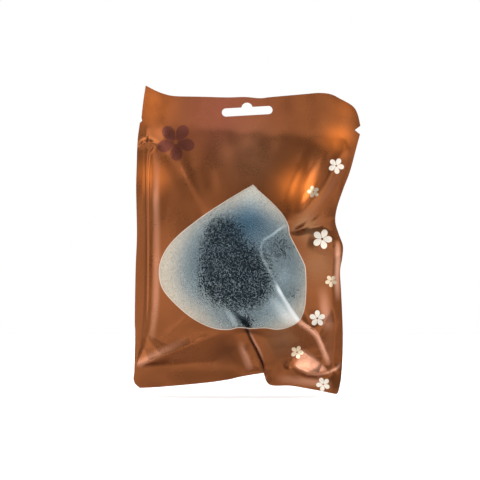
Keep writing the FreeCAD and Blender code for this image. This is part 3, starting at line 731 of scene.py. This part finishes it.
def make_sponge():
    """Skin of the sponge, turned about its axis and pitted inwards."""
    profile = sponge_profile()
    x, z = from_peg(*SPONGE)
    centre = Vector((x, 0, z))
    points, faces = [], []
    for radius, depth in profile[1:-1]:
        for turn in range(AROUND):
            angle = 2 * math.pi * turn / AROUND
            points.append(Vector((radius * math.cos(angle), -depth, radius * math.sin(angle))))
    for ring in range(len(profile) - 3):
        for turn in range(AROUND):
            a = ring * AROUND + turn
            b = ring * AROUND + (turn + 1) % AROUND
            faces.append((a, b, b + AROUND, a + AROUND))
    tip, foot = len(points), len(points) + 1
    points += [Vector((0, -profile[0][1], 0)), Vector((0, -profile[-1][1], 0))]
    last = (len(profile) - 3) * AROUND
    for turn in range(AROUND):
        faces.append((tip, (turn + 1) % AROUND, turn))
        faces.append((foot, last + turn, last + (turn + 1) % AROUND))
    moved = []
    for point in points:
        inward = (HEART - point).normalized()
        pits = pit(point, PORE, Vector((0, 0, 0))) + pit(point, FINE_PORE, FINE_SHIFT)
        moved.append((point + inward * (SKIN + pits) + centre) * MM)
    return add("konjac_sponge", smooth_mesh("sponge", moved, faces))


sponge = make_sponge()


# Materials

def material(name):
    """New material, its node tree and its main shader."""
    made = bpy.data.materials.new(name)
    made.use_nodes = True
    tree = made.node_tree
    return made, tree, tree.nodes["Principled BSDF"]


def node(tree, kind, **settings):
    """Add a node with the given properties."""
    made = tree.nodes.new(kind)
    for key, value in settings.items():
        setattr(made, key, value)
    return made


def feed(tree, source, target):
    """Link an output to an input, or set the input where the source is a plain value."""
    if isinstance(source, bpy.types.NodeSocket):
        tree.links.new(source, target)
    else:
        target.default_value = source


def wire(tree, made, inputs):
    """Feed several inputs of a node by name."""
    for label, source in inputs.items():
        feed(tree, source, made.inputs[label])


def calc(tree, operation, *values, clamp=False):
    """Result of one arithmetic step."""
    made = node(tree, "ShaderNodeMath", operation=operation, use_clamp=clamp)
    for index, value in enumerate(values):
        feed(tree, value, made.inputs[index])
    return made.outputs[0]


def mix(tree, share, first, second):
    """Mix of two colours."""
    made = node(tree, "ShaderNodeMix", data_type="RGBA")
    for index, source in ((0, share), (6, first), (7, second)):
        feed(tree, source, made.inputs[index])
    return made.outputs[2]


def span(tree, value, low, high, to_low=0.0, to_high=1.0):
    """Value carried smoothly from one range to another."""
    made = node(tree, "ShaderNodeMapRange", interpolation_type="SMOOTHSTEP")
    feed(tree, value, made.inputs[0])
    for index, limit in enumerate((low, high, to_low, to_high), start=1):
        feed(tree, limit, made.inputs[index])
    return made.outputs[0]


def place(tree):
    """Place on the object, in its own frame."""
    return node(tree, "ShaderNodeTexCoord").outputs["Object"]


def axes(tree, vector):
    """The three numbers of a vector."""
    made = node(tree, "ShaderNodeSeparateXYZ")
    tree.links.new(vector, made.inputs[0])
    return made.outputs


def attribute(tree, label):
    """A number stored on the points of the piece."""
    return node(tree, "ShaderNodeAttribute", attribute_name=label).outputs["Fac"]


def grain(tree, where, scale, detail, rough):
    """Noise of one scale, in features per metre."""
    made = node(tree, "ShaderNodeTexNoise")
    wire(tree, made, {"Vector": where, "Scale": scale, "Detail": detail, "Roughness": rough})
    return made.outputs["Fac"]


def cells(tree, where, scale):
    """Cells of one scale, in cells per metre."""
    made = node(tree, "ShaderNodeTexVoronoi")
    wire(tree, made, {"Vector": where, "Scale": scale})
    return made


def relief(tree, shader, height, strength, distance):
    """Bump of the surface from a height."""
    made = node(tree, "ShaderNodeBump")
    wire(tree, made, {"Strength": strength, "Distance": distance, "Height": height})
    tree.links.new(made.outputs[0], shader.inputs["Normal"])


def linear(red, green, blue):
    """Colour as it looks on screen, given from 0 to 255, as a shader colour."""
    def one(value):
        share = value / 255
        return share / 12.92 if share <= 0.04045 else ((share + 0.055) / 1.055) ** 2.4
    return (one(red), one(green), one(blue), 1.0)


# Blossom, as shares of its radius: petals, their roundness and waist, the soft edge, heart and gaps
PETALS = 5
PETAL_ROUND = 0.55
PETAL_WAIST = 0.28
PETAL_EDGE = 0.03
PETAL_HEART = (0.1, 0.15)
PETAL_GAP = (0.06, 0.16)


def blossom(tree, where, column, row, radius, turn):
    """Mask of a blossom in the plane of the pack, with its radius in pixels and its turn in degrees."""
    x, z = from_peg(column, row)
    here = axes(tree, where)
    across = calc(tree, "SUBTRACT", here["X"], x * MM)
    up = calc(tree, "SUBTRACT", here["Z"], z * MM)
    square = calc(tree, "ADD", calc(tree, "MULTIPLY", across, across), calc(tree, "MULTIPLY", up, up))
    away = calc(tree, "DIVIDE", calc(tree, "SQRT", square), radius * PIXEL * MM)
    angle = calc(tree, "ADD", calc(tree, "ARCTAN2", up, across), math.radians(turn))
    wave = calc(tree, "ABSOLUTE", calc(tree, "COSINE", calc(tree, "MULTIPLY", angle, PETALS / 2)))
    tip = calc(tree, "POWER", wave, PETAL_ROUND)
    petal = calc(tree, "MULTIPLY_ADD", tip, 1 - PETAL_WAIST, PETAL_WAIST)
    outer = span(tree, calc(tree, "SUBTRACT", petal, away), -PETAL_EDGE, PETAL_EDGE)
    heart = span(tree, away, *PETAL_HEART)
    gap = span(tree, wave, *PETAL_GAP)
    return calc(tree, "MULTIPLY", calc(tree, "MULTIPLY", outer, heart), gap)


def blossoms(tree, where, flowers):
    """Joint mask of several blossoms, each (column, row, radius, turn)."""
    total = 0.0
    for flower in flowers:
        total = calc(tree, "MAXIMUM", total, blossom(tree, where, *flower))
    return total


PALE_FLOWERS = [(336, 166, 8, 10), (322, 239, 10, 75), (317, 318, 8, 55), (323, 384, 7, 30)]
DULL_FLOWERS = [(313, 192, 6, 40), (331, 281, 6, 20), (297, 352, 6.5, 5)]
DARK_FLOWERS = [(176, 142, 19, 15)]

# Foil colours, the tints that its stored numbers lay over them (among them painted reflection, painted
# highlight, painted sheen and painted shade), and the inks of its print
BRONZE = (linear(116, 64, 31), linear(126, 71, 36))
TINTS = {
    "painted_reflection": linear(255, 138, 58), "red": linear(138, 74, 60), "painted_highlight": linear(240, 176, 146),
    "beige_and_sheen": linear(170, 128, 92), "shade": linear(44, 22, 13),
}
DARK_INK = linear(92, 46, 38)
DULL_INK = linear(204, 184, 156)
PALE_INK = linear(238, 228, 214)
DARK_COVER = 0.85
FOIL_METAL = 0.92
INK_METAL = -0.4
INK_ROUGH = 0.18

# Pale line round the window: where it fades and how far it is measured, in millimetres, and its strength
RIM_FADE = (0.35, 0.6)
RIM_REACH = 5.0
RIM_INK = 0.6

# Other colours: inside of the webs, three tints of the film and the colour of its painted highlights (gleam),
# the sealant and the sponge
SILVER = (linear(206, 200, 188), linear(226, 220, 208))
COOL_FILM = linear(154, 172, 178)
BLUE_FILM = linear(86, 128, 156)
CREAM_FILM = linear(204, 192, 174)
GLEAM = linear(232, 236, 238)
SEALANT = (linear(196, 186, 172), linear(214, 206, 194))
SPONGE_CELL = (linear(2, 6, 10), linear(13, 25, 35))
SPONGE_DAMP = linear(5, 13, 21)

# Range of most noise, depth of fine bumps in metres, and cells per metre of the film's specks and the pores
NOISE = (0.3, 0.7)
BUMP = 0.0003
FOIL_BUMP = 0.0001
SPECK_CELLS = 1900.0
PORE_CELLS = 1300.0


def foil_material(name, print_and_painted_light):
    """Satin bronze metallised film, with its print, and its painted reflection, highlights, sheen and shade,
    where it has one.
    """
    made, tree, shader = material(name)
    where = place(tree)
    colour = mix(tree, span(tree, grain(tree, where, 22.0, 3.0, 0.55), *NOISE), *BRONZE)
    rough = span(tree, grain(tree, where, 60.0, 4.0, 0.6), *NOISE, 0.26, 0.34)
    metal = FOIL_METAL
    if print_and_painted_light:
        for label, tint in TINTS.items():
            colour = mix(tree, attribute(tree, label), colour, tint)
        dark = calc(tree, "MULTIPLY", blossoms(tree, where, DARK_FLOWERS), DARK_COVER)
        colour = mix(tree, dark, colour, DARK_INK)
        colour = mix(tree, blossoms(tree, where, DULL_FLOWERS), colour, DULL_INK)
        edge = span(tree, attribute(tree, "rim"), *RIM_FADE, RIM_INK, 0.0)
        ink = calc(tree, "MAXIMUM", blossoms(tree, where, PALE_FLOWERS), edge)
        colour = mix(tree, ink, colour, PALE_INK)
        metal = calc(tree, "MULTIPLY_ADD", ink, INK_METAL, FOIL_METAL)
        rough = calc(tree, "MULTIPLY_ADD", ink, INK_ROUGH, rough)
    wire(tree, shader, {"Base Color": colour, "Metallic": metal, "Roughness": rough,
                        "Coat Weight": 0.08, "Coat Roughness": 0.3})
    relief(tree, shader, grain(tree, where, 900.0, 2.0, 0.6), 0.005, FOIL_BUMP)
    return made


def toned_material(name, colours, scale, rough, metal, bumps):
    """Plain material whose colour, roughness and bumps follow one noise."""
    made, tree, shader = material(name)
    tone = grain(tree, place(tree), scale, 3.0, 0.6)
    wire(tree, shader, {"Base Color": mix(tree, tone, *colours), "Metallic": metal,
                        "Roughness": span(tree, tone, *NOISE, *rough)})
    relief(tree, shader, tone, bumps, BUMP)
    return made


def clear_material():
    """Clear film, hazed by moisture inside it except where the sponge wets it."""
    made, tree, shader = material("clear_film")
    where = place(tree)
    chance = axes(tree, cells(tree, where, SPECK_CELLS).outputs["Color"])
    cloud = grain(tree, where, 160.0, 4.0, 0.65)
    patchy = calc(tree, "MULTIPLY_ADD", cloud, 0.8, 0.6)
    cover = calc(tree, "MULTIPLY", attribute(tree, "wet"), patchy)
    dry = span(tree, calc(tree, "SUBTRACT", chance["X"], cover), -0.2, 0.2, 0.03, 1.0)
    uneven = calc(tree, "MULTIPLY_ADD", cloud, 0.14, -0.07)
    haze = calc(tree, "ADD", attribute(tree, "haze"), uneven)
    speck = calc(tree, "MULTIPLY_ADD", chance["Y"], 0.3, 0.85)
    fog = calc(tree, "MULTIPLY", calc(tree, "MULTIPLY", haze, speck), dry)
    alpha = calc(tree, "ADD", fog, attribute(tree, "gleam"), clamp=True)
    cool = mix(tree, attribute(tree, "blue"), COOL_FILM, BLUE_FILM)
    colour = mix(tree, attribute(tree, "cream"), cool, CREAM_FILM)
    colour = mix(tree, attribute(tree, "gleam"), colour, GLEAM)
    wire(tree, shader, {"Base Color": colour, "Alpha": alpha, "Roughness": 0.2, "Specular IOR Level": 0.1})
    relief(tree, shader, cloud, 0.1, BUMP)
    return made


def sponge_material():
    """Damp charcoal sponge: near-black blue with paler walls between its pores."""
    made, tree, shader = material("sponge")
    where = place(tree)
    from_middle = cells(tree, where, PORE_CELLS).outputs["Distance"]
    pore = span(tree, from_middle, 0.2, 0.6)
    damp = span(tree, grain(tree, where, 90.0, 4.0, 0.6), 0.35, 0.7, 0.0, 0.5)
    colour = mix(tree, damp, mix(tree, pore, *SPONGE_CELL), SPONGE_DAMP)
    rough = span(tree, pore, 0.0, 1.0, 0.75, 0.5)
    wire(tree, shader, {"Base Color": colour, "Roughness": rough, "Specular IOR Level": 0.12})
    relief(tree, shader, from_middle, 0.4, BUMP)
    return made


bronze = foil_material("bronze_foil", True)
plain_bronze = foil_material("plain_bronze", False)
silver = toned_material("inner_silver", SILVER, 120.0, (0.35, 0.5), 0.3, 0.1)
clear_plastic = clear_material()
sealant = toned_material("sealant", SEALANT, 300.0, (0.45, 0.6), 0.0, 0.0)
charcoal = sponge_material()

# Tones that the printed foil reads, from 0 to 1: painted reflection, a reddish tint, painted highlight, a
# beige tone with a painted sheen, and painted shade
# Painted warm reflection: orange patches where the foil would mirror a warm light
painted_reflection = spots([(296, 186, 17, 0.95), (338, 139, 13, 0.7), (152, 105, 20, 0.35), (152, 175, 16, 0.35),
              (346, 108, 14, 0.22)])
red = spots([(225, 112, 42, 0.6)])
# Painted highlights on fold crests and facets, on the edges and on the low right seal
painted_highlight = strokes([
    # Long fold to the low right corner: its crest and the face under it
    (3, 5, [(287, 303, 0), (299, 320, 0.6), (311, 329, 0.65), (318, 337, 0.6), (325, 353, 0.5),
            (330, 366, 0)]),
    # Facet left of the pleat and the lip of the pleat
    (5, 6, [(239, 340, 0), (244, 352, 0.25), (249, 365, 0.25), (252, 370, 0)]),
    (2, 3, [(249, 331, 0.2), (254, 341, 0.4), (260, 352, 0.3), (264, 364, 0)]),
    # Facet over the low left corner, and the left edge
    (6, 5, [(140, 364, 0.2), (155, 355, 0.22), (172, 347, 0.15), (190, 338, 0)]),
    (5, 5, [(158, 150, 0), (156, 190, 0.22), (157, 240, 0.15), (156, 300, 0.2), (152, 336, 0.1)]),
    # Right edge
    (4, 4, [(337, 240, 0), (338, 258, 0.8), (337, 280, 0.7), (338, 302, 0)]),
    (8, 8, [(322, 284, 0), (324, 300, 0.2), (326, 318, 0.3), (329, 332, 0)]),
    # Low right seal and its upper edge
    (6, 6, [(274, 378, 0), (296, 380, 0.2), (320, 383, 0.25), (334, 386, 0)]),
    (2, 2, [(304, 373, 0), (314, 374, 0.3), (325, 373, 0.4), (337, 368, 0.6), (341, 362, 0)]),
])
FACET_HIGHLIGHT = 0.48
# Painted highlight on the broad facet above the low right seal
painted_highlight += FACET_HIGHLIGHT * patch([(303, 350), (313, 357), (327, 370), (307, 372.5), (295, 366.5)], 2.5)
# Beige: a painted sheen along the fold to the right notch, and a paler, duller tone in soft patches
beige_and_sheen = strokes([(10, 8, [(298, 228, 0.2), (308, 212, 0.15), (322, 192, 0.1), (338, 165, 0)])])
beige_and_sheen += spots([(308, 229, 12, 0.4), (252, 156, 30, 0.2), (282, 338, 14, 0.3), (318, 264, 18, 0.25)])
# Painted shade in the pleat, in the cleft under the window, at the foot of the left seal's lip and in soft
# patches
shade = strokes([
    # Inside of the pleat, and the cleft under the window
    (3, 2, [(246, 329, 0.6), (251, 340, 0.7), (257, 352, 0.75), (261, 362, 0.8), (263, 371, 0.5)]),
    (3, 4, [(238, 328, 0), (247, 330, 0.6), (256, 332, 0.5), (266, 333, 0)]),
    # Foot of the left seal's lip
    (1.6, 1.6, [(147, 140, 0), (146, 170, 0.4), (146, 230, 0.45), (145, 300, 0.45), (142, 336, 0.3),
                (138, 362, 0)]),
])
shade += spots([(284, 346, 18, 0.35), (226, 352, 14, 0.42), (316, 264, 18, 0.15)])
foil_fields = [("painted_reflection", painted_reflection), ("red", red), ("painted_highlight", painted_highlight), ("beige_and_sheen", beige_and_sheen), ("shade", shade)]
for piece, uv in ((front_foil, foil_uv), (header_foil, head_uv)):
    for label, field in foil_fields:
        carry(piece, label, sample(np.clip(field, 0, 1), *uv.T))
    near = nearest(np.vstack([window_outline, window_outline[:1]]), *uv.T)[0] * PIXEL
    carry(piece, "rim", np.minimum(near, RIM_REACH))

# Tones that the clear film reads: wet where the sponge touches it, hazed elsewhere, its colours, and its
# gleam, which is painted highlight
WETNESS = 0.8
EVEN_HAZE = 0.31
WET_CLEARS = 0.11
EDGE_HAZE = 0.39
FILM_MOST = 1.3
wet = WETNESS * patch([
    (209, 221), (222, 216), (237, 222), (244, 240), (260, 248), (273, 276), (270, 298), (256, 307),
    (236, 309), (214, 304), (201, 290), (199, 262), (204, 238),
], 9.0)
wet += spots([(281, 248, 12, 0.45), (292, 293, 7, 0.35), (246, 321, 6, 0.9)])
haze = EVEN_HAZE - WET_CLEARS * wet + EDGE_HAZE * ramp(AWAY, 30, 48)
haze += spots([(252, 196, 13, 0.23), (192, 262, 15, -0.05), (247, 224, 20, -0.07), (205, 312, 20, 0.1),
               (278, 308, 14, 0.2), (284, 276, 11, 0.15)])
# Less haze along the cleft under the window, so the dark sponge shows through: painted shade
haze += strokes([(4, 4, [(226, 304, 0), (237, 314, -0.25), (250, 328, -0.4)])])
cream = ramp(AWAY, 30, 50)
cream += spots([(252, 198, 16, -0.4), (200, 312, 20, 0.35)])
blue = spots([(248, 224, 22, 0.85)])
# Gleam: painted highlights along the film's folds and on the tongue over the cleft
gleam = strokes([
    # Edge of the lifted flap
    (1.6, 2.2, [(288, 224, 0), (280, 229, 0.35), (272, 235, 0.35), (263, 241, 0.2), (261, 250, 0.15),
                (263, 258, 0.2), (268, 268, 0.2), (275, 281, 0.1)]),
    # Bright fold to the low right corner and the face under it
    (1.5, 4.5, [(275, 281, 0), (279, 289, 0.7), (286, 301, 0.6), (294, 313, 0.75), (301, 323, 0.8)]),
    (6, 12, [(268, 292, 0), (277, 302, 0.2), (287, 314, 0.35), (296, 322, 0.2)]),
    # Tongue over the cleft
    (3, 4, [(226, 308, 0), (231, 315, 0.25), (236, 324, 0.2)]),
])
for label, field in (("wet", wet), ("haze", haze), ("cream", cream), ("blue", blue), ("gleam", gleam)):
    carry(clear_film, label, sample(np.clip(field, 0, FILM_MOST), *clear_uv.T))

# The side of a web that looks into the pack has the inner material
AHEAD, BEHIND = 0, 1


def paint(piece, outer, inner, faces, side):
    """Give a web its outer material, and its inner one on one side."""
    piece.data.materials.append(outer)
    piece.data.materials.append(inner)
    marks = np.zeros(len(piece.data.polygons), np.int32)
    marks[side * faces:(side + 1) * faces] = 1
    piece.data.polygons.foreach_set("material_index", marks)


paint(front_foil, bronze, silver, foil_faces, BEHIND)
paint(header_foil, bronze, silver, head_faces, BEHIND)
paint(back_film, plain_bronze, silver, back_faces, AHEAD)
paint(header_back, plain_bronze, silver, header_back_faces, AHEAD)
clear_film.data.materials.append(clear_plastic)
header_clear_film.data.materials.append(sealant)
for piece in (left_seal, right_seal, bottom_seal, header_seal):
    piece.data.materials.append(sealant)
sponge.data.materials.append(charcoal)

# Each piece stands for its solid and moves with its body
rows = [
    (front_foil, "pouch", "front_foil", "bronze_foil"),
    (clear_film, "pouch", "clear_film", "clear_film"),
    (back_film, "pouch", "back_film", "back_foil"),
    (left_seal, "pouch", "left_seal", "sealant"),
    (right_seal, "pouch", "right_seal", "sealant"),
    (bottom_seal, "pouch", "bottom_seal", "sealant"),
    (header_foil, "header", "header_foil", "bronze_foil"),
    (header_clear_film, "header", "header_clear_film", "clear_film"),
    (header_seal, "header", "header_seal", "sealant"),
    (header_back, "header", "header_back", "back_foil"),
    (sponge, "sponge", "sponge", "sponge"),
]
for piece, body, solid, finish in rows:
    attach(piece, body)
    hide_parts(solid)

# Camera, square to the front and aimed at the middle of the view
VIEW = 480
DISTANCE = 1.6
FIELD = VIEW * PIXEL * MM
x, z = from_peg(VIEW / 2, VIEW / 2)
camera_data = bpy.data.cameras.new("camera")
camera_data.lens = camera_data.sensor_width * DISTANCE / FIELD
camera_data.clip_start = 0.05
camera_data.clip_end = 50
camera = add("camera", camera_data)
camera.location = (x * MM, -DISTANCE, z * MM)
camera.rotation_euler = (math.pi / 2, 0, 0)
scene.camera = camera

# Floor, just under the lowest corner, lit a little from within where it is looked at
FLOOR_GAP = 1.2
FLOOR = (PEG[1] - LOW_RIGHT[1] - FLOOR_GAP) * PIXEL * MM
NEAR = 1.0
FAR = 2.5
FLOOR_WHITE = (0.92, 0.92, 0.92, 1)
FLOOR_GLOW = 0.25
WHITE = (1, 1, 1, 1)
corners = [(-NEAR, -FAR, FLOOR), (FAR, -FAR, FLOOR), (FAR, NEAR, FLOOR), (-NEAR, NEAR, FLOOR)]
floor_mesh = bpy.data.meshes.new("floor")
floor_mesh.from_pydata(corners, [], [(0, 1, 2, 3)])
floor = add("floor", floor_mesh)
floor_paint, floor_tree, floor_shader = material("floor")
rays = node(floor_tree, "ShaderNodeLightPath").outputs
seen = calc(floor_tree, "MAXIMUM", rays["Is Camera Ray"], rays["Is Glossy Ray"])
seen = calc(floor_tree, "MAXIMUM", seen, rays["Is Transmission Ray"])
wire(floor_tree, floor_shader, {
    "Base Color": FLOOR_WHITE, "Roughness": 0.8, "Emission Color": WHITE,
    "Emission Strength": calc(floor_tree, "MULTIPLY", seen, FLOOR_GLOW),
})
floor_mesh.materials.append(floor_paint)

# World: a white cove behind the pack under a dim ceiling, dimmer behind the camera and dimmest on its right
COVE_RISE = (0.12, 0.4)
COVE_LIGHT = (1.0, 0.5)
ROOM_SIDES = (-0.9, 0.9)
ROOM_LIGHT = (0.55, 0.3)
ROOM_TO_COVE = (-0.45, 0.0)
world = bpy.data.worlds.new("studio")
scene.world = world
world.use_nodes = True
sky = world.node_tree
way = axes(sky, node(sky, "ShaderNodeTexCoord").outputs["Generated"])
room = span(sky, way["X"], *ROOM_SIDES, *ROOM_LIGHT)
cove = span(sky, way["Z"], *COVE_RISE, *COVE_LIGHT)
level = span(sky, way["Y"], *ROOM_TO_COVE, room, cove)
wire(sky, sky.nodes["Background"], {"Strength": level, "Color": WHITE})

# Soft lamps that face AIM: name, place, width and height in metres, and brightness
AIM = Vector((0, 0, -0.09))
LAMPS = [
    ("left_light", (-1.1, -0.6, 0.0), 0.5, 0.9, 2.4),
    ("key_light", (-0.65, -0.85, 0.8), 1.0, 0.7, 3.6),
    ("right_light", (1.0, -0.7, 0.2), 0.4, 0.9, 2.0),
    ("front_light", (-0.1, -2.0, 0.1), 1.0, 1.0, 1.25),
    ("top_light", (0.0, 0.5, 1.1), 1.6, 0.9, 4.0),
]
for name, location, width, height, radiance in LAMPS:
    lamp = bpy.data.lights.new(name, "AREA")
    lamp.shape = "RECTANGLE"
    lamp.size = width
    lamp.size_y = height
    lamp.energy = radiance * math.pi * width * height
    box = add(name, lamp)
    box.location = location
    box.rotation_euler = (AIM - Vector(location)).to_track_quat("-Z", "Y").to_euler()

scene.view_settings.view_transform = "Standard"
